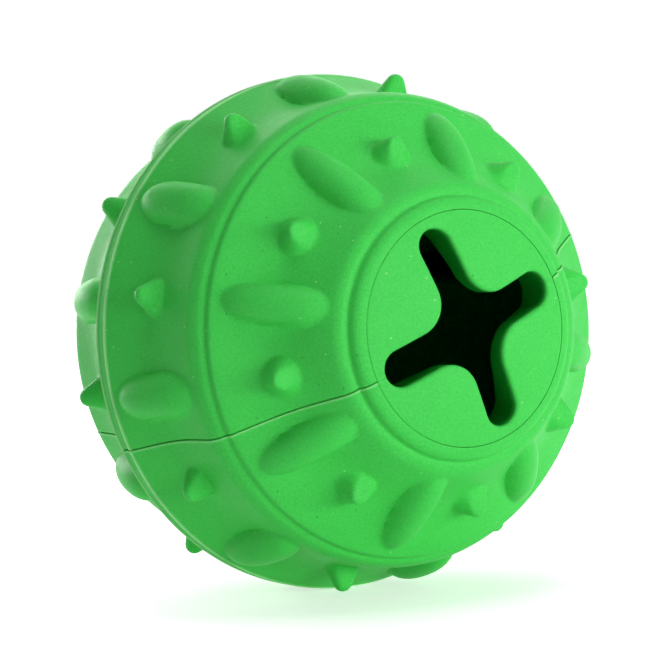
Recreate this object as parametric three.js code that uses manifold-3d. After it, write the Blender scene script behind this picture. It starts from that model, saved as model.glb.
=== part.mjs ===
// A hollow rubber treat ball for a dog, with a cross-shaped mouth in one end.
// Two half shells meet at a seam that runs from end to end. A disc closes each end, and the front
// disc has four flexing lips round the mouth. The ball's axis is Y, the mouth faces -Y and +Z is up.
import * as THREE from "three";
import { mergeVertices } from "three/addons/utils/BufferGeometryUtils.js";
import Module from "manifold-3d";

// Driving dimensions, in millimetres, degrees and counts
const ballRadius = 38;          // axis to the top of the belt
const wallThickness = 6.2;      // belt to treat chamber
const beltWidth = 2.3;          // flat band round the middle
const beltStep = 0.15;          // how far the belt stands above the zones' edges
const zoneDepth = 2.35;         // how far a zone is hollowed below its edges
const beadWidth = 1.5;          // round shoulder on the belt side of each crease
const beadCrown = 0.2;          // swell of that shoulder above its two edges
const creaseDepth = 0.35;       // groove on the mouth side of that shoulder
const creaseWidth = 1.8;
const discRadius = 16;          // seat of an end disc
const rimWidth = 2.2;           // rounded band round an end disc
const rimCrown = 0.3;           // swell of that band above its two edges
const placesPerZone = 16;       // ovals and nubs by turns
const innerOvalLength = 15.6;   // ovals beside the belt
const innerOvalWidth = 6.4;
const innerOvalProud = 0.6;     // their tops above the belt's radius
const outerOvalLength = 16.4;   // ovals beside an end disc
const outerOvalWidth = 5.2;
const outerOvalProud = 0.2;     // their tops above the belt's radius
const nubProud = 0.6;           // nubs' tops above the belt's radius
const nubBase = 4;              // diameter above the flare at the nub's foot
const nubTip = 2.2;             // diameter of its round top
const nubFlare = 0.8;           // spread of the foot
const armWidth = 5;             // the mouth's cross
const ringWidth = 1.3;          // rubber between an arm's end and the disc's edge
const lipRound = 4.5;           // radius of a lip's tip
const fitGap = 0.3;             // clearance between pieces
const seamTurn = 22.5;          // the seam's tilt from level, about the axis

// How finely curves are faceted
const turnFacets = 40;
const zoneSteps = 5;
const chamberFacets = 32;
const bumpFacets = 8;
const bumpRings = 6;
const arcSteps = 4;
const tipSteps = 2;

// Places that follow from the driving dimensions
const edgeRadius = ballRadius - beltStep;
const chamberRadius = ballRadius - wallThickness;
const floorRadius = edgeRadius - zoneDepth;
const innerOvalHeight = ballRadius + innerOvalProud - floorRadius;
const outerOvalHeight = ballRadius + outerOvalProud - floorRadius;
const nubHeight = ballRadius + nubProud - floorRadius;
const faceHeight = Math.sqrt(ballRadius ** 2 - discRadius ** 2);
const beltLatitude = Math.asin(beltWidth / 2 / ballRadius);
const rimLatitude = Math.acos((discRadius + rimWidth) / ballRadius);
const ridgeLatitude = (beltLatitude + rimLatitude) / 2;
const creaseAngle = creaseWidth / 2 / edgeRadius;
const beadAngle = beadWidth / edgeRadius;
const innerZone = [beltLatitude + beltStep / edgeRadius, ridgeLatitude - creaseAngle - beadAngle];
const outerZone = [ridgeLatitude + creaseAngle, rimLatitude - creaseAngle - beadAngle];
const plugRadius = discRadius - fitGap;
const armReach = plugRadius - ringWidth;

// Each lip bends at a line through the ends of its two arms, halfway through the disc.
const rootReach = armReach / Math.SQRT2;
const rootFloor = Math.sqrt(chamberRadius ** 2 - rootReach ** 2);
const rootRadius = (faceHeight - rootFloor) / 2;
const rootHeight = faceHeight - rootRadius;
const endSpread = (armReach - armWidth / 2) / Math.SQRT2;
const rootHalfLength = endSpread - Math.sqrt((armWidth / 2) ** 2 - (rootReach - endSpread) ** 2) - fitGap;

const wasm = await Module();
wasm.setup();

// A closed solid from a geometry: its shared points are merged and collapsed triangles are left out.
function solidOf(geometry) {
  geometry.deleteAttribute("normal");
  geometry.deleteAttribute("uv");
  const merged = mergeVertices(geometry);
  const index = merged.index.array;
  const corners = [];
  for (let i = 0; i < index.length; i += 3) {
    const [a, b, c] = index.slice(i, i + 3);
    if (a !== b && b !== c && c !== a) {
      corners.push(a, b, c);
    }
  }
  return new wasm.Manifold(new wasm.Mesh({
    numProp: 3,
    vertProperties: merged.attributes.position.array,
    triVerts: Uint32Array.from(corners),
  }));
}

// A named mesh of a finished solid.
function pieceOf(name, solid, material) {
  const mesh = solid.getMesh();
  const geometry = new THREE.BufferGeometry();
  geometry.setAttribute("position", new THREE.BufferAttribute(mesh.vertProperties, 3));
  geometry.setIndex(new THREE.BufferAttribute(mesh.triVerts, 1));
  geometry.computeVertexNormals();
  const piece = new THREE.Mesh(geometry, material);
  piece.name = name;
  return piece;
}

// A profile point at a radius and latitude, as distance from the axis and height above the belt.
function onBall(radius, latitude) {
  return new THREE.Vector2(radius * Math.cos(latitude), radius * Math.sin(latitude));
}

// A zone's hollow between two latitudes: its radius dips by half a sine wave.
function zoneCurve([from, to]) {
  const points = [];
  for (let i = 0; i <= zoneSteps; i += 1) {
    const share = i / zoneSteps;
    const radius = edgeRadius - zoneDepth * Math.sin(Math.PI * share);
    points.push(onBall(radius, THREE.MathUtils.lerp(from, to, share)));
  }
  return points;
}

// Outline from the belt to an end disc: the belt's edge, two hollow zones with a bead and a crease
// after each, and the rounded rim.
function halfOutline() {
  const rimFoot = onBall(edgeRadius - creaseDepth, rimLatitude);
  const seatEdge = new THREE.Vector2(discRadius, faceHeight);
  const rimCrest = rimFoot.clone().lerp(seatEdge, 0.5);
  rimCrest.setLength(rimCrest.length() + rimCrown);
  return [
    new THREE.Vector2(ballRadius, beltWidth / 2),
    ...zoneCurve(innerZone),
    onBall(edgeRadius + beadCrown, ridgeLatitude - creaseAngle - beadAngle / 2),
    onBall(edgeRadius, ridgeLatitude - creaseAngle),
    onBall(edgeRadius - creaseDepth, ridgeLatitude),
    ...zoneCurve(outerZone),
    onBall(edgeRadius + beadCrown, rimLatitude - creaseAngle - beadAngle / 2),
    onBall(edgeRadius, rimLatitude - creaseAngle),
    rimFoot,
    rimCrest,
    seatEdge,
  ];
}

// The ball without its chamber: the outline turned about the axis, with the front half mirrored.
function ballBody() {
  const rear = halfOutline();
  const front = rear.map((point) => new THREE.Vector2(point.x, -point.y)).reverse();
  const axisEnd = new THREE.Vector2(0, faceHeight);
  const outline = [new THREE.Vector2(0, -faceHeight), ...front, ...rear, axisEnd];
  return solidOf(new THREE.LatheGeometry(outline, turnFacets));
}

// A long rounded bump. Its long axis is local Y and it stands along local Z.
function ovalSolid(width, length, height) {
  const oval = new THREE.SphereGeometry(1, bumpFacets, bumpRings);
  return oval.scale(width / 2, length / 2, height);
}

// A blunt cone with a flared foot and a round top, standing along local Z.
function nubSolid() {
  const tipRadius = nubTip / 2;
  const outline = [
    new THREE.Vector2(0, -nubFlare),
    new THREE.Vector2(nubBase / 2 + 2 * nubFlare, -nubFlare),
    new THREE.Vector2(nubBase / 2, nubFlare),
  ];
  for (let i = 0; i <= tipSteps; i += 1) {
    const turn = (i / tipSteps) * Math.PI / 2;
    outline.push(new THREE.Vector2(
      tipRadius * Math.cos(turn),
      nubHeight - tipRadius + tipRadius * Math.sin(turn),
    ));
  }
  return new THREE.LatheGeometry(outline, bumpFacets).rotateX(Math.PI / 2);
}

// Moves a bump to a zone's floor: local Z points out of the ball and local Y along the axis.
function setOnFloor(geometry, turn, latitude) {
  const out = new THREE.Vector3(
    Math.cos(latitude) * Math.cos(turn),
    Math.sin(latitude),
    Math.cos(latitude) * Math.sin(turn),
  );
  const along = new THREE.Vector3(
    -Math.sin(latitude) * Math.cos(turn),
    Math.cos(latitude),
    -Math.sin(latitude) * Math.sin(turn),
  );
  const across = new THREE.Vector3().crossVectors(along, out);
  const place = new THREE.Matrix4().makeBasis(across, along, out);
  return geometry.applyMatrix4(place.setPosition(out.multiplyScalar(floorRadius)));
}

// Four rings of bumps. Ovals and nubs take turns round a zone and from zone to zone.
function addBumps(body) {
  const inner = (innerZone[0] + innerZone[1]) / 2;
  const outer = (outerZone[0] + outerZone[1]) / 2;
  const pitch = 2 * Math.PI / placesPerZone;
  const innerOval = () => ovalSolid(innerOvalWidth, innerOvalLength, innerOvalHeight);
  const outerOval = () => ovalSolid(outerOvalWidth, outerOvalLength, outerOvalHeight);
  const zones = [[-outer, outerOval], [-inner, innerOval], [inner, innerOval], [outer, outerOval]];
  let bumpy = body;
  zones.forEach(([latitude, oval], zone) => {
    for (let place = 0; place < placesPerZone; place += 1) {
      const bump = (zone + place) % 2 === 0 ? oval() : nubSolid();
      bumpy = bumpy.add(solidOf(setOnFloor(bump, (place + 0.5) * pitch, latitude)));
    }
  });
  return bumpy;
}

// One half of the shell, above the seam (side 1) or below it (side -1).
function halfShell(shell, side) {
  const reach = 4 * ballRadius;
  const keep = new THREE.BoxGeometry(reach, reach, reach);
  keep.translate(0, 0, side * (reach + fitGap) / 2);
  return shell.intersect(solidOf(keep));
}

// An end disc at the mouth's end: flat outside, with the chamber's round wall inside.
function discBlank() {
  const outline = [new THREE.Vector2(0, -faceHeight), new THREE.Vector2(plugRadius, -faceHeight)];
  const edgeLatitude = Math.acos(plugRadius / chamberRadius);
  for (let i = 0; i <= arcSteps; i += 1) {
    const wall = onBall(chamberRadius, THREE.MathUtils.lerp(edgeLatitude, Math.PI / 2, i / arcSteps));
    outline.push(new THREE.Vector2(wall.x, -wall.y));
  }
  return solidOf(new THREE.LatheGeometry(outline, turnFacets));
}

// A flat outline in X and Z, made solid from one height to another along the mouth's direction.
function standingSolid(outline, from, to) {
  const plate = new THREE.ExtrudeGeometry(outline, {
    depth: to - from,
    bevelEnabled: false,
    curveSegments: 2 * arcSteps,
  });
  return solidOf(plate.translate(0, 0, from).rotateX(Math.PI / 2));
}

// The mouth: four arms with round ends, joined by the round tips of the lips between them.
function crossOutline() {
  const half = armWidth / 2;
  const endCentre = armReach - half;
  const tipCentre = half + lipRound;
  const outline = new THREE.Shape();
  for (let arm = 0; arm < 4; arm += 1) {
    const turn = arm * Math.PI / 2;
    const cos = Math.round(Math.cos(turn));
    const sin = Math.round(Math.sin(turn));
    const right = turn - Math.PI / 2;
    const left = turn + Math.PI / 2;
    outline.absarc(endCentre * cos, endCentre * sin, half, right, left, false);
    const tipX = tipCentre * (cos - sin);
    const tipY = tipCentre * (sin + cos);
    outline.absarc(tipX, tipY, lipRound, right, turn - Math.PI, true);
  }
  outline.closePath();
  return outline;
}

// The part of the disc that belongs to one lip: from the axis out to its bending line.
function lipSector() {
  const outline = new THREE.Shape();
  outline.moveTo(0, 0);
  outline.lineTo(rootReach, -rootReach);
  outline.lineTo(rootReach, rootReach);
  outline.closePath();
  return outline;
}

// A round bar along a lip's bending line.
function rootBar(radius, halfLength) {
  const bar = new THREE.CylinderGeometry(radius, radius, 2 * halfLength, 4 * arcSteps);
  return solidOf(bar.rotateX(Math.PI / 2).translate(rootReach, -rootHeight, 0));
}

const rubber = new THREE.MeshStandardMaterial({ color: 0x3fc455, roughness: 0.55, metalness: 0 });
const lipNames = ["lip_top", "lip_left", "lip_bottom", "lip_right"];
const quarter = Math.PI / 2;

// The two half shells
const chamber = solidOf(new THREE.SphereGeometry(chamberRadius, chamberFacets, chamberFacets / 2));
const bore = solidOf(new THREE.CylinderGeometry(discRadius, discRadius, 4 * ballRadius, turnFacets));
const shell = addBumps(ballBody()).subtract(chamber).subtract(bore);
const upperShell = pieceOf("upper_shell", halfShell(shell, 1), rubber);
const lowerShell = pieceOf("lower_shell", halfShell(shell, -1), rubber);

// The front disc: a fixed ring, and a lip for each quarter
const mouth = standingSolid(crossOutline(), 0, 2 * ballRadius);
const plate = discBlank().subtract(mouth);
const sector = standingSolid(lipSector(), 0, 2 * ballRadius);
const lipSpace = standingSolid(lipSector(), rootFloor, 2 * ballRadius);
const lipRoot = rootBar(rootRadius, rootHalfLength);
const rootGroove = rootBar(rootRadius + fitGap, rootHalfLength + fitGap);
let ring = plate;
const lips = lipNames.map((name, i) => {
  const turn = THREE.MathUtils.radToDeg(-(i + 0.5) * quarter);
  ring = ring.subtract(sector.rotate([0, turn, 0])).subtract(rootGroove.rotate([0, turn, 0]));
  const flap = plate.intersect(lipSpace.rotate([0, turn, 0]));
  return pieceOf(name, flap.add(lipRoot.rotate([0, turn, 0])), rubber);
});
const mouthRing = pieceOf("mouth_ring", ring, rubber);

// The closed disc at the back
const rearDisc = pieceOf("rear_disc", discBlank(), rubber);
rearDisc.rotation.x = Math.PI;

const ball = new THREE.Group();
ball.add(upperShell, lowerShell, mouthRing, ...lips, rearDisc);
ball.rotation.y = -THREE.MathUtils.degToRad(seamTurn);

export default ball;
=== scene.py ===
# %% [markdown]
# # A green rubber treat ball
# A dog's treat ball: two half shells of moulded rubber that meet at a seam, a disc at each end, and
# four lips round a cross-shaped mouth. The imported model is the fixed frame. It gives every size and
# place, so it is loaded first and never moved. The fine surfaces below are laid over it.

import bpy
import numpy as np
from mathutils import Matrix, Vector


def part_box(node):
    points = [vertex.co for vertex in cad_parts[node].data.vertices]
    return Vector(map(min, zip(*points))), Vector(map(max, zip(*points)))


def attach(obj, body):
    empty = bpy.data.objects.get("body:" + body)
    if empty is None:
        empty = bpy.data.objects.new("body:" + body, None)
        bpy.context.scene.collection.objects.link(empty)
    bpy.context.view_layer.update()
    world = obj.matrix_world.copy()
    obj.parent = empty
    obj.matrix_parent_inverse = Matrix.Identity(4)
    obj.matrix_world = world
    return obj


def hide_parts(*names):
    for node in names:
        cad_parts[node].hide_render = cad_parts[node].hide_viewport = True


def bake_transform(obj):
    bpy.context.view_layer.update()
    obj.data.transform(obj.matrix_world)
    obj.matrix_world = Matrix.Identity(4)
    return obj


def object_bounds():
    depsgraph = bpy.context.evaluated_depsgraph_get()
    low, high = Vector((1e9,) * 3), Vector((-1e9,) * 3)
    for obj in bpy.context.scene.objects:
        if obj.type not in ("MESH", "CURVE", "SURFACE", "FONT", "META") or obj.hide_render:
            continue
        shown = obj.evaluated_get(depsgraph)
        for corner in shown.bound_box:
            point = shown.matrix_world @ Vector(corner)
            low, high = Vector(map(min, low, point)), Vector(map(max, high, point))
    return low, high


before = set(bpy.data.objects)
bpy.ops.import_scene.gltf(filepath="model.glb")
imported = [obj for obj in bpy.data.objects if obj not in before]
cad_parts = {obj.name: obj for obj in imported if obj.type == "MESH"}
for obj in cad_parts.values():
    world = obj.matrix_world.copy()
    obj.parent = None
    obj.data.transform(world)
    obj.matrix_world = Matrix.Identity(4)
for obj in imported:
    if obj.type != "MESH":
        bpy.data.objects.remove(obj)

cad_box = [list(corner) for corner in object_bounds()]
print("CAD box in metres:", np.round(cad_box, 5).tolist())

# %% [markdown]
# ## Units and the few sizes that drive the skin
# All shapes are worked out in millimetres and scaled once, when a mesh is made. The flat face of
# the end discs is read from the frame, and their radius is where that plane cuts the ball. The
# ball's axis is Y, the mouth faces -Y, and an angle round the axis is counted from +X towards +Z.

# %% Driving sizes in millimetres
MM = 0.001
ball_radius = 38.0
chamber_radius = 31.8
face_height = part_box("rear_disc")[1][1] / MM
disc_radius = np.sqrt(ball_radius**2 - face_height**2)
# The seam runs through the axis at this angle, and two arms of the cross lie along it.
seam_turn = np.radians(22.5)
print(f"flat end discs: {disc_radius:.2f} mm radius, {face_height:.2f} mm from the middle")

# %% [markdown]
# ## Putting a surface into a mesh
# Each surface is a grid of points, row by row. Quads join neighbours, and a grid may close on
# itself along its rows or its columns. A mesh could also be grown with edit operators, but whole
# arrays are quicker and the formula stays in view. Most pieces here are a closed section carried
# along a path, so that gets a function too. A unit cube, a square carried one step, tests it.

# %% Faces of a grid
def grid_faces(rows, columns, close_rows=False, close_columns=False):
    """Quads between neighbours, numbered row by row. Closing joins the last line to the first."""
    row = np.arange(rows if close_rows else rows - 1)[:, None]
    column = np.arange(columns if close_columns else columns - 1)[None, :]
    next_row = (row + 1) % rows
    next_column = (column + 1) % columns
    corners = [(row, column), (row, next_column), (next_row, next_column), (next_row, column)]
    return np.stack([r * columns + c for r, c in corners], axis=-1).reshape(-1, 4)


def swept_faces(rows, columns):
    """Faces of a closed section of rows, carried along columns: quads, and one face on each end."""
    section = np.arange(rows) * columns
    ends = np.stack([section, (section + columns - 1)[::-1]])
    return [grid_faces(rows, columns, close_rows=True), ends]


print("faces of a cube:", sum(len(face) for face in swept_faces(4, 2)))

# %% Volume inside a closed surface
def enclosed_volume(points, faces):
    """The sum of the tetrahedra that the origin makes with a fan of triangles in each face."""
    total = 0.0
    for face in faces:
        first = points[face[:, 0]]
        for i in range(1, face.shape[1] - 1):
            total += np.sum(first * np.cross(points[face[:, i]], points[face[:, i + 1]])) / 6
    return total


cube = np.array([[x, y, z] for x, z in ((0, 0), (1, 0), (1, 1), (0, 1)) for y in (0, 1)])
print("volume of a unit cube:", round(abs(enclosed_volume(cube, swept_faces(4, 2))), 6))

# %% One object from a surface
sharp_angle = np.radians(50)


def make_piece(name, points, faces, marks):
    """An object from points in millimetres, arrays of faces, and marks that the material reads.
    A negative volume means that the faces point inwards, so they are turned round."""
    points = points.reshape(-1, 3)
    volume = enclosed_volume(points, faces)
    outward = [face if volume > 0 else face[:, ::-1] for face in faces]
    listed = [corners for face in outward for corners in face.tolist()]
    mesh = bpy.data.meshes.new(name)
    mesh.from_pydata((points * MM).tolist(), [], listed)
    mesh.shade_smooth()
    mesh.set_sharp_from_angle(angle=sharp_angle)
    for mark, values in marks.items():
        mesh.attributes.new(mark, "FLOAT", "POINT").data.foreach_set("value", values.ravel())
    piece = bpy.data.objects.new(name, mesh)
    bpy.context.scene.collection.objects.link(piece)
    print(f"{name}: {len(points)} points, {abs(volume):.0f} mm3 of rubber")
    return piece


print(f"edges that turn by more than {np.degrees(sharp_angle):.0f} degrees are kept sharp")

# %% [markdown]
# ## The outline from belt to rim
# In the photograph the ball is banded like a barrel: a flat belt with two fine raised edges, then
# on each side two hollow zones. Every zone ends in a round shoulder and a soft crease, and the last
# crease is followed by a rounded rim at the disc. A revolved spline could draw this, but a sum of
# plain terms keeps each feature's real width and height in view: half sine waves for the hollows
# and bell curves for creases and edges.

# %% Where the bands begin and end
# The radius at the zones' edges, and the widths of belt, creases, shoulders and rim.
edge_radius = 37.85
belt_half = 1.15
crease_half = 0.9
ridge_shoulder = 1.6
rim_shoulder = 1.0
rim_width = 2.2
belt_latitude = np.arcsin(belt_half / ball_radius)
rim_latitude = np.arccos((disc_radius + rim_width) / ball_radius)
ridge_latitude = (belt_latitude + rim_latitude) / 2
face_latitude = np.arctan2(face_height, disc_radius)
inner_zone = (belt_latitude, ridge_latitude - (crease_half + ridge_shoulder) / edge_radius)
outer_zone = (
    ridge_latitude + crease_half / edge_radius,
    rim_latitude - (crease_half + rim_shoulder) / edge_radius,
)
band_ends = np.degrees([belt_latitude, ridge_latitude, rim_latitude, face_latitude])
print("belt, ridge, rim and disc end at degrees:", np.round(band_ends, 1).tolist())

# %% Belt and hollow zones
belt_radius = 37.75
belt_edge = 0.22
belt_edge_width = 0.19
floor_radius = 35.5


def ridge(distance, width):
    """A bell curve of height one over a distance, falling to about a third at the given width."""
    return np.exp(-(distance / width) ** 2)


def belt_line(latitude):
    """One on the belt's edges and nought elsewhere: a bell curve as wide as the raised line."""
    return ridge((np.abs(latitude) - belt_latitude) * ball_radius, belt_edge_width)


def belt_rise(latitude):
    """A step down on the belt that fades out within its half width, plus the two raised edges."""
    fade = np.clip(1 - (np.abs(latitude) - belt_latitude) / belt_latitude, 0, 1)
    return (belt_radius - edge_radius) * fade + belt_edge * belt_line(latitude)


def zone_hollow(latitude, zone):
    """How far a zone lies below its edges: half a sine wave from one edge to the other."""
    share = np.clip((np.abs(latitude) - zone[0]) / (zone[1] - zone[0]), 0, 1)
    return (edge_radius - floor_radius) * np.sin(np.pi * share)


print(f"inner zone's middle lies {zone_hollow(np.mean(inner_zone), inner_zone):.2f} mm deep")

# %% Creases, rim and the whole outline
shoulder_crown = 0.08
crease_depth = 0.3
crease_width = 0.5
rim_crown = 0.3


def crease_drop(latitude, zone, place):
    """A bell curve at the crease, less a low half sine wave on the shoulder that leads to it."""
    away = np.abs(latitude)
    share = np.clip((away - zone[1]) / (place - zone[1]), 0, 1)
    groove = crease_depth * ridge((away - place) * edge_radius, crease_width)
    return groove - shoulder_crown * np.sin(np.pi * share)


def rim_rise(latitude):
    """A straight rise from the last crease to the disc, with a low half sine wave on it."""
    band = np.clip((np.abs(latitude) - rim_latitude) / (face_latitude - rim_latitude), 0, 1)
    return (ball_radius - edge_radius) * band + rim_crown * np.sin(np.pi * band)


def bare_radius(latitude):
    """The ball without bumps: the edges' radius plus belt and rim, less the zones and creases."""
    raised = belt_rise(latitude) + rim_rise(latitude)
    zones = zone_hollow(latitude, inner_zone) + zone_hollow(latitude, outer_zone)
    inner_crease = crease_drop(latitude, inner_zone, ridge_latitude)
    outer_crease = crease_drop(latitude, outer_zone, rim_latitude)
    return edge_radius + raised - zones - inner_crease - outer_crease


checked = np.array([0, np.mean(inner_zone), ridge_latitude, np.mean(outer_zone), rim_latitude])
print("radius at belt, zones and creases:", np.round(bare_radius(checked), 2).tolist())

# %% [markdown]
# ## Ovals and nubs
# Sixteen bumps stand in each zone, long ovals and round nubs by turns, and the turns change from
# zone to zone. They could be separate solids joined by a boolean, but moulded rubber has no line
# where a bump starts. So each bump is a height over the same grid: an oval is a round swelling that
# is blunt at both ends, a nub is a cone with a ball for its tip, cut flat on the side that looks
# along the axis, and a smooth maximum rounds the foot of both. The cut is crisp beside the discs,
# and so soft beside the belt that those nubs look round.

# %% Places and sizes of the bumps
places_per_zone = 16
pitch = 2 * np.pi / places_per_zone
# Bumps stand this many radians nearer to the disc than the middle of their zone.
outer_shift = 0.014
inner_shift = 0.01
# Sizes are in millimetres. A nub's slope is the half width of its cone over its height, cut_back
# is how far its cut lies from its middle towards the belt, and nub_edge rounds the cut's edge.
zone_bumps = [
    {
        "latitude": np.mean(outer_zone) + outer_shift,
        "oval_top": 38.2, "half_length": 9.0, "half_width": 2.75,
        "nub_top": 38.65, "nub_tip": 1.15, "nub_slope": 0.7, "nub_edge": 0.35, "cut_back": 0.45,
    },
    {
        "latitude": np.mean(inner_zone) + inner_shift,
        "oval_top": 38.5, "half_length": 8.8, "half_width": 3.2,
        "nub_top": 38.95, "nub_tip": 1.25, "nub_slope": 0.52, "nub_edge": 1.2, "cut_back": -0.7,
    },
]
bump_latitudes = np.degrees([bump["latitude"] for bump in zone_bumps])
print("bumps on both sides at degrees:", np.round(bump_latitudes, 1).tolist())

# %% Ovals
# Two powers: with a half the section would be an ellipse, and with two the outline would be.
oval_fullness = 0.52
oval_bluntness = 3.2
oval_fillet = 0.3


def smooth_max(a, b, fillet):
    """The larger of two heights, with a round fillet where they come within the fillet's size."""
    near = np.clip(1 - np.abs(a - b) / fillet, 0, 1)
    return np.maximum(a, b) + near**2 * fillet / 4


def oval_radius(bare, along, across, bump):
    """A swelling by a power of one minus the shares of its reach, along and across the oval."""
    along_share = np.abs(along / bump["half_length"]) ** oval_bluntness
    inside = 1 - along_share - (across / bump["half_width"]) ** 2
    swell = np.sign(inside) * np.abs(inside) ** oval_fullness
    return smooth_max(bare, floor_radius + (bump["oval_top"] - floor_radius) * swell, oval_fillet)


oval_heights = [bump["oval_top"] - floor_radius for bump in zone_bumps]
print("ovals stand above the zones' floor by mm:", np.round(oval_heights, 2).tolist())

# %% Nubs
nub_fillet = 0.35
# Far from any bump two divisors come near nought, so they are held at this.
least_divisor = 0.05


def nub_radius(bare, along, across, latitude, bump):
    """A cone with a ball for its tip, under a flat plane across the axis, filleted at its foot."""
    top, tip, slope = bump["nub_top"], bump["nub_tip"], bump["nub_slope"]
    away = np.hypot(along, across)
    meets = tip / np.hypot(1, slope)
    dome = np.sqrt(tip**2 - np.minimum(away, meets) ** 2)
    cone = top - tip + dome - np.maximum(away - meets, 0) / slope
    plane = top * np.sin(bump["latitude"] - bump["cut_back"] / top)
    cut = plane / np.maximum(np.abs(np.sin(latitude)), least_divisor)
    return smooth_max(bare, -smooth_max(-cone, -cut, bump["nub_edge"]), nub_fillet)


cone_angles = np.degrees(np.arctan([bump["nub_slope"] for bump in zone_bumps]))
print("half angle of the nubs' cones in degrees:", np.round(cone_angles, 1).tolist())

# %% The skin with all its bumps
def skin_radius(angle, latitude):
    """The bare ball with its bumps. The angle is counted from the seam, halfway between two bumps.
    Along and across are distances on the plane that touches the ball at the nearest bump."""
    radius = bare_radius(latitude)
    place = np.floor(angle / pitch)
    offset = angle - (place + 0.5) * pitch
    sine, cosine = np.sin(latitude), np.cos(latitude)
    outer, inner = zone_bumps
    for zone, (bump, side) in enumerate([(outer, -1), (inner, -1), (inner, 1), (outer, 1)]):
        middle = side * bump["latitude"]
        out = cosine * np.cos(middle) * np.cos(offset) + sine * np.sin(middle)
        scale = floor_radius / np.maximum(out, least_divisor)
        along = (sine * np.cos(middle) - cosine * np.sin(middle) * np.cos(offset)) * scale
        across = cosine * np.sin(offset) * scale
        oval = oval_radius(radius, along, across, bump)
        nub = nub_radius(radius, along, across, latitude, bump)
        radius = np.where((zone + place) % 2 == 0, oval, nub)
    return radius


middles = np.array([sign * bump["latitude"] for bump in zone_bumps for sign in (-1, 1)])
print("radius at the middle of four bumps:", np.round(skin_radius(pitch / 2, middles), 2).tolist())

# %% [markdown]
# ## The two half shells
# The shells were moulded apart and bonded, which leaves a fine line all the way round: the upper
# edge is rounded and the lower one has a little raised flash that catches the light. Each half is
# one closed surface. Its rows run over the outside from rim to rim, down the seat of the disc and
# back along the chamber, and its columns run from one seam to the other. An even grid would need
# many more points, so both are crowded where the shape changes fastest, near the seam and over the
# bumps.

# %% Rows over the outside
outer_rows = 296
density_steps = 4001


def crowded(start, end, count, centres, widths, extra):
    """Places from start to end, closer round the centres: equal steps of a summed density."""
    fine = np.linspace(start, end, density_steps)
    density = 1 + sum(e * ridge(fine - c, w) for c, w, e in zip(centres, widths, extra))
    total = np.concatenate([[0], np.cumsum((density[1:] + density[:-1]) / 2)])
    return np.interp(np.linspace(0, total[-1], count), total, fine)


def shell_rows():
    """Latitudes from the front seat to the rear one, crowded at bumps, creases and belt edges.
    Each mark is a latitude, a width in radians and the density that is added there."""
    marks = [(bump["latitude"], 0.075, 0.9) for bump in zone_bumps]
    marks += [(place, 0.03, 2.2) for place in (ridge_latitude, rim_latitude)]
    marks += [(belt_latitude, 0.012, 6.0), (face_latitude, 0.02, 1.5)]
    both = [(sign * place, width, extra) for place, width, extra in marks for sign in (1, -1)]
    return crowded(-face_latitude, face_latitude, outer_rows, *zip(*both))


row_steps = np.diff(shell_rows()) * ball_radius
print(f"rows lie {row_steps.min():.2f} to {row_steps.max():.2f} mm apart")

# %% Columns from seam to seam
columns_per_pitch = 35
seam_columns = 9
seam_reach = 1.1
seam_gap = 0.02
seam_crowding = 1.7
pitch_crowding = 0.25
half_pitch_crowding = 0.35


def shell_angles(nominal):
    """Angles from seam to seam, for rows at a nominal distance from the axis. Beside a seam the
    distance grows by a power. Between, equal steps are warped by a sine wave for each pitch and
    one for each half pitch."""
    near = seam_reach * np.linspace(0, 1, seam_columns) ** seam_crowding
    pitches = places_per_zone // 2
    turns = np.linspace(0, pitches, columns_per_pitch * pitches + 1)[1:-1]
    warp = pitch_crowding * np.sin(2 * np.pi * turns) / (2 * np.pi)
    warp = warp + half_pitch_crowding * np.sin(4 * np.pi * turns) / (4 * np.pi)
    first = np.arcsin((seam_gap + near) / nominal)
    middle = first[:, -1:] + (np.pi - 2 * first[:, -1:]) * ((turns + warp) / pitches)
    return np.concatenate([first, middle, np.pi - first[:, ::-1]], axis=1)


print("columns from seam to seam:", shell_angles(np.array([[ball_radius]])).shape[1])

# %% Seat and chamber
seat_round = 0.2
seat_rows = 5
chamber_rows = 14


def shell_inside():
    """Distance from the axis and height, row by row: down the rear seat, through the chamber along
    its circle, and up the front seat."""
    wall_foot = np.sqrt(chamber_radius**2 - disc_radius**2)
    seat = np.linspace(face_height - seat_round, wall_foot, seat_rows)
    on_seat = np.full(seat_rows, disc_radius)
    chamber_edge = np.arctan2(wall_foot, disc_radius)
    chamber = np.linspace(chamber_edge, -chamber_edge, chamber_rows)[1:-1]
    from_axis = np.concatenate([on_seat, chamber_radius * np.cos(chamber), on_seat])
    height = np.concatenate([seat, chamber_radius * np.sin(chamber), -seat[::-1]])
    return from_axis[:, None], height[:, None]


belt_wall = belt_radius - chamber_radius
print(f"wall at the belt: {belt_wall:.2f} mm, inner rows: {len(shell_inside()[0])}")

# %% Relief at the seam
edge_drop = 0.3
edge_reach = 0.35
flash_height = 0.12
flash_place = 0.17
flash_width = 0.12


def seam_flash(distance, side):
    """One on the fine line of flash just below the seam, on the lower half alone: a bell curve."""
    return ridge(distance - flash_place, flash_width) * (side < 0)


def seam_relief(distance, side):
    """Height beside the seam: above it (side 1) an edge rounded by a square, below it the flash."""
    if side > 0:
        return -edge_drop * np.clip(1 - distance / edge_reach, 0, 1) ** 2
    return flash_height * seam_flash(distance, side)


beside_seam = [seam_relief(0.0, 1), seam_relief(flash_place, -1)]
print("relief above and below the seam in mm:", np.round(beside_seam, 2).tolist())

# %% Both half shells
# How strong the painted highlight on the seam's flash is.
seam_highlight_share = 0.5
unshaded_seat_rows = 3


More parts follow.
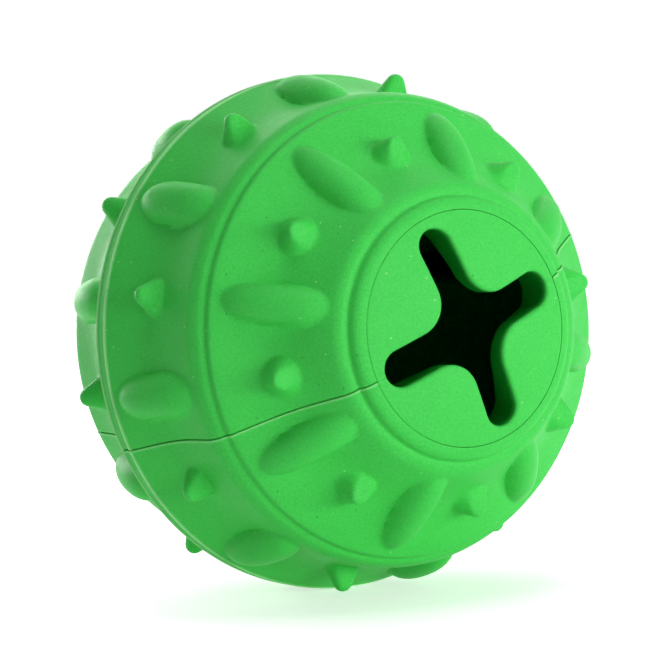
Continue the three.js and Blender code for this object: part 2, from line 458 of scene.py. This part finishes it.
def half_shell(side):
    """Points and marks of a closed half shell: the skin's radius and the inner rows, turned about
    the axis. Rows go round its section, columns from seam to seam."""
    latitude = shell_rows()[:, None]
    inner_axis, inner_height = shell_inside()
    nominal = np.concatenate([ball_radius * np.cos(latitude), inner_axis])
    angle = shell_angles(nominal)
    distance = (nominal * np.sin(angle))[:outer_rows]
    turned = angle if side > 0 else angle + np.pi
    radius = skin_radius(turned[:outer_rows], latitude) + seam_relief(distance, side)
    every_column = np.zeros_like(angle[outer_rows:])
    from_axis = np.concatenate([radius * np.cos(latitude), inner_axis + every_column])
    height = np.concatenate([radius * np.sin(latitude), inner_height + every_column])
    world = turned + seam_turn
    points = np.stack([from_axis * np.cos(world), height, from_axis * np.sin(world)], axis=-1)

    # Painted highlight: the belt's raised edges and the seam's flash are marked to be painted pale,
    # as the light they catch.
    painted_highlight = np.zeros_like(angle)
    seam_highlight = seam_highlight_share * seam_flash(distance, side)
    painted_highlight[:outer_rows] = np.maximum(belt_line(latitude), seam_highlight)
    # Painted shade: the chamber's rows, all but a few beside each seat, are marked for the deeper
    # green that stands in for the dark inside.
    inside = np.zeros_like(angle)
    inside[outer_rows + unshaded_seat_rows:-unshaded_seat_rows] = 1
    return points, {"painted_highlight": painted_highlight, "inside": inside}


shells = {}
for name, side in (("upper_shell", 1), ("lower_shell", -1)):
    points, marks = half_shell(side)
    shells[name] = make_piece(f"{name}_rubber", points, swept_faces(*points.shape[:2]), marks)
    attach(shells[name], "ball")
    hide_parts(name)

# %% [markdown]
# ## The mouth's four lips
# The front disc is one moulding with a cross cut through it. A quarter of it, from arm to arm, is a
# lip and the rubber that carries it. A boolean could cut the cross, but it leaves hard edges and
# thin triangles. Here a section is carried along the lip's edge instead. The edge comes first, with
# the way into the rubber and a matching point of the disc's rim for each of its points.

# %% The edge of a lip
arm_half = 2.5
arm_reach = 14.4
lip_round = 4.5
arm_points = 22
side_points = 16
tip_points = 40


def arc(centre, radius, start, end, count):
    """Points on a circle, from a start angle to an end angle in degrees."""
    turn = np.radians(np.linspace(start, end, count))
    return np.stack([centre[0] + radius * np.cos(turn), centre[1] + radius * np.sin(turn)], axis=-1)


def lip_edge():
    """The lip's edge from one arm's end to the next: arm end, straight side, round tip and back."""
    end_centre = arm_reach - arm_half
    tip_centre = arm_half + lip_round
    along = np.linspace(end_centre, tip_centre, side_points)[1:-1]
    side = np.stack([along, np.full_like(along, arm_half)], axis=-1)
    arm = arc((end_centre, 0), arm_half, 0, 90, arm_points)
    tip = arc((tip_centre, tip_centre), lip_round, -90, -180, tip_points)
    return np.concatenate([arm, side, tip, side[::-1, ::-1], arm[::-1, ::-1]])


edge = lip_edge()
tip_reach = np.linalg.norm(edge, axis=1).min()
print(f"lip's edge: {len(edge)} points, its tip {tip_reach:.2f} mm from the axis")

# %% The way into the rubber, and the disc's rim
# A place across the axis, from which the whole edge is seen from the mouth's side.
behind_mouth = np.array([-1.0, -1.0])


def into_rubber(edge):
    """The edge's heading turned by a right angle, one long, to the side away from the mouth."""
    heading = np.gradient(edge, axis=0)
    inward = np.stack([-heading[:, 1], heading[:, 0]], axis=-1)
    inward /= np.linalg.norm(inward, axis=1, keepdims=True)
    return inward * np.sign(np.sum(inward * (edge - behind_mouth), axis=1, keepdims=True))


def rim_ways(edge):
    """Directions to the rim over a quarter turn, shared out by the length gone along the edge."""
    steps = np.linalg.norm(np.diff(edge, axis=0), axis=1)
    length = np.concatenate([[0], np.cumsum(steps)])
    fan = length / length[-1] * np.pi / 2
    return np.stack([np.cos(fan), np.sin(fan)], axis=-1)


inward, rim = into_rubber(edge), rim_ways(edge)
print("way into the rubber at the tip:", np.round(inward[len(edge) // 2], 2).tolist())

# %% [markdown]
# ## The section across a lip
# The section goes across the flat face, over the rounded front edge, down the wall, over the back
# edge, along the chamber and up the disc's rim. A bevel could round the edges of a cut block, but
# here each row has a plain meaning: flats are straight between two lines of points, rounded edges
# are parts of a circle, and the back lies on the chamber's sphere.

# %% Lines and rows of the section
front_round = 0.6
back_round = 0.5
plug_gap = 0.04
plug_round = 0.15
plug_radius = disc_radius - plug_gap


def even_steps(count):
    """Equal steps from just after nought up to one."""
    return np.linspace(0, 1, count + 1)[1:]


def quarter_turns(count):
    """Equal steps of angle up to a right angle, one for each row of points."""
    return (even_steps(count) * np.pi / 2).reshape(-1, 1, 1)


def at_height(flat, height):
    """Points with a height beside each flat place. One height may serve a row or all of them."""
    return np.concatenate([flat, np.broadcast_to(height, (*flat.shape[:-1], 1))], axis=-1)


def rows_between(first, last, shares):
    """Rows of points on the straight way from one line to another, at shares of that way."""
    return first + (last - first) * shares.reshape(-1, 1, 1)


def chamber_height(flat):
    """Height of the chamber's wall over a flat place, from the sphere's equation."""
    return np.sqrt(chamber_radius**2 - np.sum(flat**2, axis=-1, keepdims=True))


tip_wall = face_height - chamber_height(edge).max()
print(f"rubber at the lips' tips before the disc is crowned: {tip_wall:.2f} mm")

# %% The closed section
lip_face_rows = 22
lip_front_rows = 6
lip_wall_rows = 6
lip_back_rows = 5
lip_chamber_rows = 15
lip_rim_rows = 5
lip_rim_turns = 4


def lip_section(edge, inward, rim):
    """Rows round the section, with a point for each place along the edge: shares of the way
    between two lines for flats, sines and cosines of a quarter turn for rounded edges."""
    rim_foot = rim * plug_radius
    face_rim = at_height(rim * (plug_radius - plug_round), face_height)
    face_edge = at_height(edge + inward * front_round, face_height)
    wall_top = at_height(edge, face_height - front_round)
    wall_foot = at_height(edge, chamber_height(edge) + back_round)
    chamber = rows_between(edge + inward * back_round, rim_foot, even_steps(lip_chamber_rows))

    turn = quarter_turns(lip_front_rows)
    front = edge + inward * front_round * (1 - np.sin(turn))
    front = at_height(front, face_height - front_round * (1 - np.cos(turn)))
    turn = quarter_turns(lip_back_rows)
    back = edge + inward * back_round * (1 - np.cos(turn))
    back = at_height(back, chamber_height(back) + back_round * (1 - np.sin(turn)))
    turn = quarter_turns(lip_rim_turns)[:-1]
    rim_edge = rim * (plug_radius - plug_round * (1 - np.cos(turn)))
    rim_edge = at_height(rim_edge, face_height - plug_round * (1 - np.sin(turn)))

    return np.concatenate([
        rows_between(face_rim, face_edge, np.linspace(0, 1, lip_face_rows)),
        front,
        rows_between(wall_top, wall_foot, even_steps(lip_wall_rows)),
        back,
        at_height(chamber, chamber_height(chamber)),
        rows_between(
            at_height(rim_foot, chamber_height(rim_foot)),
            at_height(rim_foot, face_height - plug_round),
            even_steps(lip_rim_rows),
        ),
        rim_edge,
    ])


lip_across, lip_along, lip_height = np.moveaxis(lip_section(edge, inward, rim), -1, 0)
print("rows and columns of a lip:", lip_height.shape)

# %% [markdown]
# ## Four quarters
# One section serves all four quarters, turned about the axis by right angles. The disc is crowned:
# every point moves out by a share that falls with the square of its distance from the axis. Each
# lip bends where it leaves the ring, and rubber has no joint to show there. The line of its root and
# a place near its tip are worked out, but nothing here bends it. A mark paints shade on the mouth's
# wall: a deeper green from just past its front edge.

# %% Quarters of the front disc
face_crown = 1.6
shade_start = 0.15
shade_width = 0.9
# A lip starts to bend on the line between two arms' ends, and is bent in full near its tip. The loop
# works out a point on each of these lines, which nothing uses.
root_reach = arm_reach / np.sqrt(2)
bend_end = 6.4

crown = face_crown * (1 - (lip_across**2 + lip_along**2) / plug_radius**2)
# Painted shade on the mouth's wall: nought on the face, growing to full a little way past the front
# edge.
painted_shade = np.clip((face_height - lip_height - shade_start) / shade_width, 0, 1)
lips = {}
for quarter, name in enumerate(["top", "left", "bottom", "right"]):
    turn = seam_turn + quarter * np.pi / 2
    right = lip_across * np.cos(turn) - lip_along * np.sin(turn)
    up = lip_across * np.sin(turn) + lip_along * np.cos(turn)
    points = np.stack([right, -lip_height - crown, up], axis=-1)
    lip = make_piece(f"lip_{name}_rubber", points, swept_faces(*painted_shade.shape), {"inside": painted_shade})
    out = np.array([np.cos(turn + np.pi / 4), 0, np.sin(turn + np.pi / 4)])
    start = (out * root_reach - [0, face_height, 0]) * MM
    end = (out * bend_end - [0, face_height, 0]) * MM
    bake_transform(lip)
    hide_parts(f"lip_{name}", "mouth_ring")
    lips[name] = lip

# %% [markdown]
# ## The closed disc at the back
# The back is closed by a plain disc of the same size as the front one: flat outside, round inside
# where the chamber's wall goes on, with a small round edge in its seat. A bevelled cylinder would
# be flat inside. So it is a profile turned about the axis, with one point at each pole so that no
# ring collapses.

# %% Rings of the rear disc
disc_columns = 160
disc_face_rows = 25
disc_edge_rows = 4
disc_wall_rows = 5
disc_chamber_rows = 13


def turned_disc():
    """Rings from the face's centre, over its edge, to the chamber's far point: a profile of
    distances from the axis and heights, turned through a full circle."""
    face = even_steps(disc_face_rows) * (plug_radius - plug_round)
    bend = even_steps(disc_edge_rows) * np.pi / 2
    foot = np.arccos(plug_radius / chamber_radius)
    wall_top = face_height - plug_round
    wall = wall_top + (chamber_radius * np.sin(foot) - wall_top) * even_steps(disc_wall_rows)
    inside = foot + (np.pi / 2 - foot) * even_steps(disc_chamber_rows)[:-1]
    from_axis = np.concatenate([
        face,
        plug_radius - plug_round * (1 - np.sin(bend)),
        np.full_like(wall, plug_radius),
        chamber_radius * np.cos(inside),
    ])[:, None]
    height = np.concatenate([
        np.full_like(face, face_height),
        face_height - plug_round * (1 - np.cos(bend)),
        wall,
        chamber_radius * np.sin(inside),
    ])[:, None]
    turn = np.linspace(0, 2 * np.pi, disc_columns, endpoint=False)
    height = np.broadcast_to(height, (len(height), disc_columns))
    return np.stack([from_axis * np.cos(turn), height, from_axis * np.sin(turn)], axis=-1)


rings = turned_disc()
print("rings and columns of the rear disc:", rings.shape[:2])

# %% Rear disc with its poles
shade_from = 1.0
rows = len(rings)
poles = np.array([[0, face_height, 0], [0, chamber_radius, 0]])
points = np.concatenate([rings.reshape(-1, 3), poles])
column = np.arange(disc_columns)
next_column = (column + 1) % disc_columns
face_pole = np.full(disc_columns, rows * disc_columns)
last_ring = (rows - 1) * disc_columns
face_fan = np.stack([face_pole, next_column, column], axis=-1)
inner_fan = np.stack([face_pole + 1, last_ring + column, last_ring + next_column], axis=-1)
faces = [grid_faces(rows, disc_columns, close_columns=True), face_fan, inner_fan]
# Painted shade on the disc's inside, more than a millimetre below its face.
marks = {"inside": 1.0 * (points[:, 1] < face_height - shade_from)}
rear = make_piece("rear_disc_rubber", points, faces, marks)
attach(rear, "ball")
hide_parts("rear_disc")

# %% [markdown]
# ## Moulded natural rubber
# The ball is natural rubber, coloured through with a green pigment and pressed in a steel mould.
# That gives a satin surface: a broad soft gloss, paler where it is seen at a low angle, with a
# faint mottling from the pigment and a very fine grain from the mould. An image could paint these,
# but noise in the object's own millimetres runs over every piece without a seam. The mould's real
# grain is about 0.05 mm, too fine to show here, so it is drawn at 0.3 mm.

# %% Colour helper and node helper
def linear(hex_colour):
    """An sRGB hex colour as linear red, green, blue and alpha, by the sRGB standard's curve."""
    srgb = np.array([int(hex_colour[i:i + 2], 16) for i in (1, 3, 5)]) / 255
    rgb = np.where(srgb <= 0.04045, srgb / 12.92, ((srgb + 0.055) / 1.055) ** 2.4)
    return (*rgb.tolist(), 1.0)


def add_node(tree, kind, inputs=None, **settings):
    """Adds a node with its settings, and fills each input with a value or another node's output."""
    made = tree.nodes.new(kind)
    for name, value in settings.items():
        setattr(made, name, value)
    for socket, value in (inputs or {}).items():
        if isinstance(value, bpy.types.NodeSocket):
            tree.links.new(value, made.inputs[socket])
        else:
            made.inputs[socket].default_value = value
    return made


print("a middle grey in linear light:", round(linear("#808080")[0], 3))

# %% Noise by its real size in millimetres
noise_sizes = {"mottle": 5.0, "grain": 0.3, "wave": 1.6}
noise_detail = {"mottle": 4.0, "grain": 2.0, "wave": 2.0}
rubber = bpy.data.materials.new("moulded_natural_rubber_green")
rubber.use_nodes = True
rubber_tree = rubber.node_tree
where = add_node(rubber_tree, "ShaderNodeTexCoord").outputs["Object"]
noise = {}
for name, size in noise_sizes.items():
    made = add_node(rubber_tree, "ShaderNodeTexNoise", {
        "Vector": where, "Scale": 1 / (size * MM), "Detail": noise_detail[name],
    })
    noise[name] = made.outputs["Fac"]
print("noise in the rubber:", noise_sizes)

# %% Mottled green
# A Mix node's sockets are numbered, because its values and its colours share their names.
FACTOR, FIRST_VALUE, LAST_VALUE, FIRST_COLOUR, LAST_COLOUR = 0, 2, 3, 6, 7
MIXED_VALUE, MIXED_COLOUR = 0, 2
noise_low, noise_high = 0.3, 0.7
grain_share = 0.6
fleck = add_node(rubber_tree, "ShaderNodeMapRange", {
    "Value": noise["grain"], "From Min": noise_low, "From Max": noise_high,
})
blotch = add_node(rubber_tree, "ShaderNodeMix", {
    FACTOR: grain_share, FIRST_VALUE: noise["mottle"], LAST_VALUE: fleck.outputs["Result"],
})
green = add_node(rubber_tree, "ShaderNodeMix", {
    FACTOR: blotch.outputs[MIXED_VALUE],
    FIRST_COLOUR: linear("#3CC64B"), LAST_COLOUR: linear("#4DD65C"),
}, data_type="RGBA")
print("nodes so far, with the shader and its output:", len(rubber_tree.nodes))

# %% [markdown]
# ## Dust, nicks, painted highlight and painted shade
# A few pale specks of dust cling to rubber, and it has some small dark nicks. They could be placed
# one by one, but the middles of cells in a Voronoi pattern lie as loosely, and the nicks' pattern
# is squeezed so that they aren't round. Two marks on the meshes guide the rest. One is a painted
# highlight: the belt's fine edges and the seam's flash are painted thin and pale, as the light they
# catch. The other is painted shade: the mouth's walls and the chamber are a deeper green, from just
# past the mouth's front edge.

# %% Specks and nicks
nick_turn = (0.6, 0.3, 0.9)
nick_squeeze = (1, 3, 1)
stretched = add_node(rubber_tree, "ShaderNodeMapping", {
    "Vector": where, "Rotation": nick_turn, "Scale": nick_squeeze,
})
# Spacing in millimetres, the spot's core and rim as shares of it, and how much colour it has.
spot_sizes = {"speck": (2.6, 0.035, 0.06, 0.5), "nick": (4.0, 0.03, 0.055, 0.6)}
spot_places = {"speck": where, "nick": stretched.outputs["Vector"]}
spots = {}
for name, (spacing, core, spot_rim, strength) in spot_sizes.items():
    cells = add_node(rubber_tree, "ShaderNodeTexVoronoi", {
        "Vector": spot_places[name], "Scale": 1 / (spacing * MM),
    })
    spot = add_node(rubber_tree, "ShaderNodeMapRange", {
        "Value": cells.outputs["Distance"],
        "From Min": core, "From Max": spot_rim, "To Min": strength, "To Max": 0.0,
    })
    spots[name] = spot.outputs["Result"]
print("spots on the rubber:", ", ".join(spots))

# %% Colours laid over each other
# Painted highlight: the pale colour on the belt's edges and the seam's flash stands in for the light
# they catch.
highlight_share = 0.9
painted_highlight = add_node(rubber_tree, "ShaderNodeAttribute", attribute_name="painted_highlight")
# The mark named inside carries painted shade for the mouth's walls and the chamber.
inside = add_node(rubber_tree, "ShaderNodeAttribute", attribute_name="inside")
highlight_mix = add_node(rubber_tree, "ShaderNodeMath", {
    0: painted_highlight.outputs["Fac"], 1: highlight_share,
}, operation="MULTIPLY")
layers = [
    (spots["speck"], "#B9EBB4"),
    (spots["nick"], "#0E6B24"),
    # painted highlight on the belt's edges and the seam's flash
    (highlight_mix.outputs[0], "#B6F5B2"),
    # painted shade: a deeper green in the mouth's walls and the chamber
    (inside.outputs["Fac"], "#0F8F26"),
]
colour = green.outputs[MIXED_COLOUR]
for share, layer_colour in layers:
    layer = add_node(rubber_tree, "ShaderNodeMix", {
        FACTOR: share, FIRST_COLOUR: colour, LAST_COLOUR: linear(layer_colour),
    }, data_type="RGBA")
    colour = layer.outputs[MIXED_COLOUR]
shader = rubber_tree.nodes["Principled BSDF"]
rubber_tree.links.new(colour, shader.inputs["Base Color"])
print("colours over the green:", len(layers))

# %% [markdown]
# ## Gloss and relief of the rubber
# Rubber has an IOR of about 1.52, and a moulded face a roughness near 0.5. Bloom, the fine film
# that rubber sweats out, and dust take most of the mirror gloss away, so its level is set low. The
# grain and a broader unevenness could be displaced, but they are far too shallow for the mesh, so
# they go into the bump.

# %% Satin gloss and fine relief
smooth_places, rough_places = 0.46, 0.54
grain_height, wave_height = 0.08 * MM, 0.05 * MM
grain_strength, wave_strength = 0.6, 0.4
satin = add_node(rubber_tree, "ShaderNodeMapRange", {
    "Value": noise["wave"], "From Min": noise_low, "From Max": noise_high,
    "To Min": smooth_places, "To Max": rough_places,
})
grainy = add_node(rubber_tree, "ShaderNodeBump", {
    "Height": noise["grain"], "Strength": grain_strength, "Distance": grain_height,
})
uneven = add_node(rubber_tree, "ShaderNodeBump", {
    "Height": noise["wave"], "Strength": wave_strength, "Distance": wave_height,
    "Normal": grainy.outputs["Normal"],
})
rubber_tree.links.new(satin.outputs["Result"], shader.inputs["Roughness"])
rubber_tree.links.new(uneven.outputs["Normal"], shader.inputs["Normal"])
shader.inputs["IOR"].default_value = 1.52
shader.inputs["Specular IOR Level"].default_value = 0.1

pieces = [*shells.values(), *lips.values(), rear]
for piece in pieces:
    piece.data.materials.append(rubber)
print("rubber on", len(pieces), "pieces, with", len(rubber_tree.nodes), "nodes")

# %% [markdown]
# ## Camera
# The photograph was measured on its circles: the belt, creases, rim and disc all lie on one ball.
# It is seen from eight ball radii away with a long lens, with the mouth's axis turned to the right
# of the camera. The ball is set down with a small roll about its own axis, so the camera rolls with
# it. A camera could be aimed with a constraint, but three directions give its matrix at once: the
# same three as the camera sees them and as they lie in the frame.

# %% Directions seen by the camera
axis_turn = np.radians(31.42)
axis_rise = np.radians(0.6)
roll = np.radians(3.75)
mouth_way = np.array([
    np.sin(axis_turn) * np.cos(axis_rise),
    np.sin(axis_rise),
    np.cos(axis_turn) * np.cos(axis_rise),
])
left_way = np.array([-np.cos(axis_turn), 0, np.sin(axis_turn)])
seen = np.stack([mouth_way, left_way, np.cross(left_way, mouth_way)])
placed = np.array([
    [0, -1, 0],
    [-np.cos(roll), 0, np.sin(roll)],
    [np.sin(roll), 0, np.cos(roll)],
])
to_world = placed.T @ seen
print("camera's right, up and back:", np.round(to_world.T, 3).tolist())

# %% Camera at the photograph's angle
photo_width = 665
focal_pixels = 2049.5
camera_distance = 8.0 * ball_radius
# The ball's centre lies a little off the middle of the picture.
centre_right = 0.0024 * ball_radius
centre_up = 0.0055 * ball_radius

lens = bpy.data.cameras.new("photo_camera")
lens.sensor_width = 36
lens.lens = focal_pixels / photo_width * lens.sensor_width
lens.clip_start = 0.01
camera = bpy.data.objects.new("photo_camera", lens)
bpy.context.scene.collection.objects.link(camera)
camera_place = to_world @ np.array([-centre_right, -centre_up, camera_distance]) * MM
camera.matrix_world = Matrix.Translation(camera_place.tolist()) @ Matrix(to_world.tolist()).to_4x4()
bpy.context.scene.camera = camera
print("camera at", np.round(camera_place, 4).tolist(), "lens", round(lens.lens, 2))

# %% [markdown]
# ## Floor
# The photograph has a plain white background. A white floor keeps the ball's shadow, and away from
# the ball it is white to the camera. Close to the ball it also glows faintly, as a table lit from
# below does. A stronger lamp could lift it too, but that would wash out the rubber. It is matt
# board, which is an even white without a mirror image. All its distances are in metres.

# %% Floor mesh
floor_reach = 3.0
floor_level = cad_box[0][2]
corners = np.array([[-1, -1, 0], [1, -1, 0], [1, 1, 0], [-1, 1, 0]]) * floor_reach
floor_mesh = bpy.data.meshes.new("floor")
floor_mesh.from_pydata((corners + [0, 0, floor_level]).tolist(), [], [[0, 1, 2, 3]])
floor = bpy.data.objects.new("floor", floor_mesh)
bpy.context.scene.collection.objects.link(floor)
print(f"floor at {floor_level:.4f} m")

# %% White board on the floor
def seen_ray(tree):
    """One for rays that show the background, the largest of three: camera, gloss, transmission."""
    ray = add_node(tree, "ShaderNodeLightPath").outputs
    gloss = add_node(tree, "ShaderNodeMath", {
        0: ray["Is Glossy Ray"], 1: ray["Is Transmission Ray"],
    }, operation="MAXIMUM")
    shown = add_node(tree, "ShaderNodeMath", {
        0: ray["Is Camera Ray"], 1: gloss.outputs[0],
    }, operation="MAXIMUM")
    return shown.outputs[0]


white = bpy.data.materials.new("matt_white_board")
white.use_nodes = True
board_tree = white.node_tree
board = board_tree.nodes["Principled BSDF"]
board.inputs["Base Color"].default_value = linear("#F4F4F4")
board.inputs["Roughness"].default_value = 0.9
board.inputs["Emission Color"].default_value = linear("#FFFFFF")
floor_mesh.materials.append(white)
print("board:", white.name)

# %% Glow of the board by distance from the ball
# Where each fade starts and ends, and its strength at both.
fade_sizes = {"white_out": (0.05, 0.2, 0.55, 1.0), "glow": (0.03, 0.1, 0.15, 0.0)}
floor_place = add_node(board_tree, "ShaderNodeTexCoord").outputs["Object"]
away = add_node(board_tree, "ShaderNodeVectorMath", {0: floor_place}, operation="LENGTH")
fades = {}
for name, (start, end, first, last) in fade_sizes.items():
    fade = add_node(board_tree, "ShaderNodeMapRange", {
        "Value": away.outputs["Value"],
        "From Min": start, "From Max": end, "To Min": first, "To Max": last,
    }, interpolation_type="SMOOTHSTEP")
    fades[name] = fade.outputs["Result"]
lift = add_node(board_tree, "ShaderNodeMix", {
    FACTOR: seen_ray(board_tree), FIRST_VALUE: fades["glow"], LAST_VALUE: fades["white_out"],
})
board_tree.links.new(lift.outputs[MIXED_VALUE], board.inputs["Emission Strength"])
print("fades on the floor:", fade_sizes)

# %% [markdown]
# ## Background and light
# The photograph's light is soft, from the right and front. The world is white to the camera and to
# reflections. As a light it is a softer grey, brighter behind the ball than in front, so the rubber
# keeps its own colour. The lamps are soft boxes, placed by the camera's own right, up and back,
# because that is how light is read from a photograph. A sun would give hard shadows.

# %% World
studio_front, studio_back = 0.06, 0.68
back_starts, back_full = 0.0, 0.8
world = bpy.data.worlds.new("white_studio")
bpy.context.scene.world = world
world.use_nodes = True
world_tree = world.node_tree
backdrop_way = (to_world @ np.array([0.0, 0.0, -1.0])).tolist()
sky_way = add_node(world_tree, "ShaderNodeTexCoord").outputs["Generated"]
facing = add_node(world_tree, "ShaderNodeVectorMath", {
    0: sky_way, 1: backdrop_way,
}, operation="DOT_PRODUCT")
studio = add_node(world_tree, "ShaderNodeMapRange", {
    "Value": facing.outputs["Value"], "From Min": back_starts, "From Max": back_full,
    "To Min": studio_front, "To Max": studio_back,
}, interpolation_type="SMOOTHSTEP")
strength = add_node(world_tree, "ShaderNodeMix", {
    FACTOR: seen_ray(world_tree), FIRST_VALUE: studio.outputs["Result"], LAST_VALUE: 1.0,
})
background = world_tree.nodes["Background"]
background.inputs["Color"].default_value = linear("#FFFFFF")
world_tree.links.new(strength.outputs[MIXED_VALUE], background.inputs["Strength"])
print("the backdrop lies towards", np.round(backdrop_way, 2).tolist())

# %% Soft boxes
lamp_distance = 0.6
# Name, direction by the camera's right, up and back, width and height in metres, power in watts.
soft_boxes = [
    ("key_box", (0.78, 0.08, 0.62), 0.6, 0.16, 2.6),
    ("front_box", (0.25, 0.25, 0.93), 0.4, 0.4, 0.2),
    ("top_box", (0.0, 0.97, 0.26), 0.3, 0.3, 1.2),
    ("back_top_box", (-0.15, 0.65, -0.74), 0.5, 0.5, 1.3),
    ("back_left_box", (-0.56, 0.18, -0.81), 0.4, 0.2, 1.6),
    ("back_right_box", (0.80, 0.14, -0.58), 0.4, 0.2, 0.15),
]
for name, seen_from, width, height, power in soft_boxes:
    lamp = bpy.data.lights.new(name, "AREA")
    lamp.shape = "RECTANGLE"
    lamp.size = width
    lamp.size_y = height
    lamp.energy = power
    box = bpy.data.objects.new(name, lamp)
    bpy.context.scene.collection.objects.link(box)
    way = Vector((to_world @ np.array(seen_from)).tolist()).normalized()
    turned = way.to_track_quat("Z", "Y").to_matrix().to_4x4()
    box.matrix_world = Matrix.Translation(way * lamp_distance) @ turned
bpy.context.scene.view_settings.view_transform = "Standard"
print(len(soft_boxes), "soft boxes at", lamp_distance, "m")

# %% [markdown]
# ## Sizes kept
# The skin is as big as the CAD model. Only the crown of the front disc stands a little more than a
# millimetre proud of its box.

# %% Finish
bpy.context.view_layer.update()
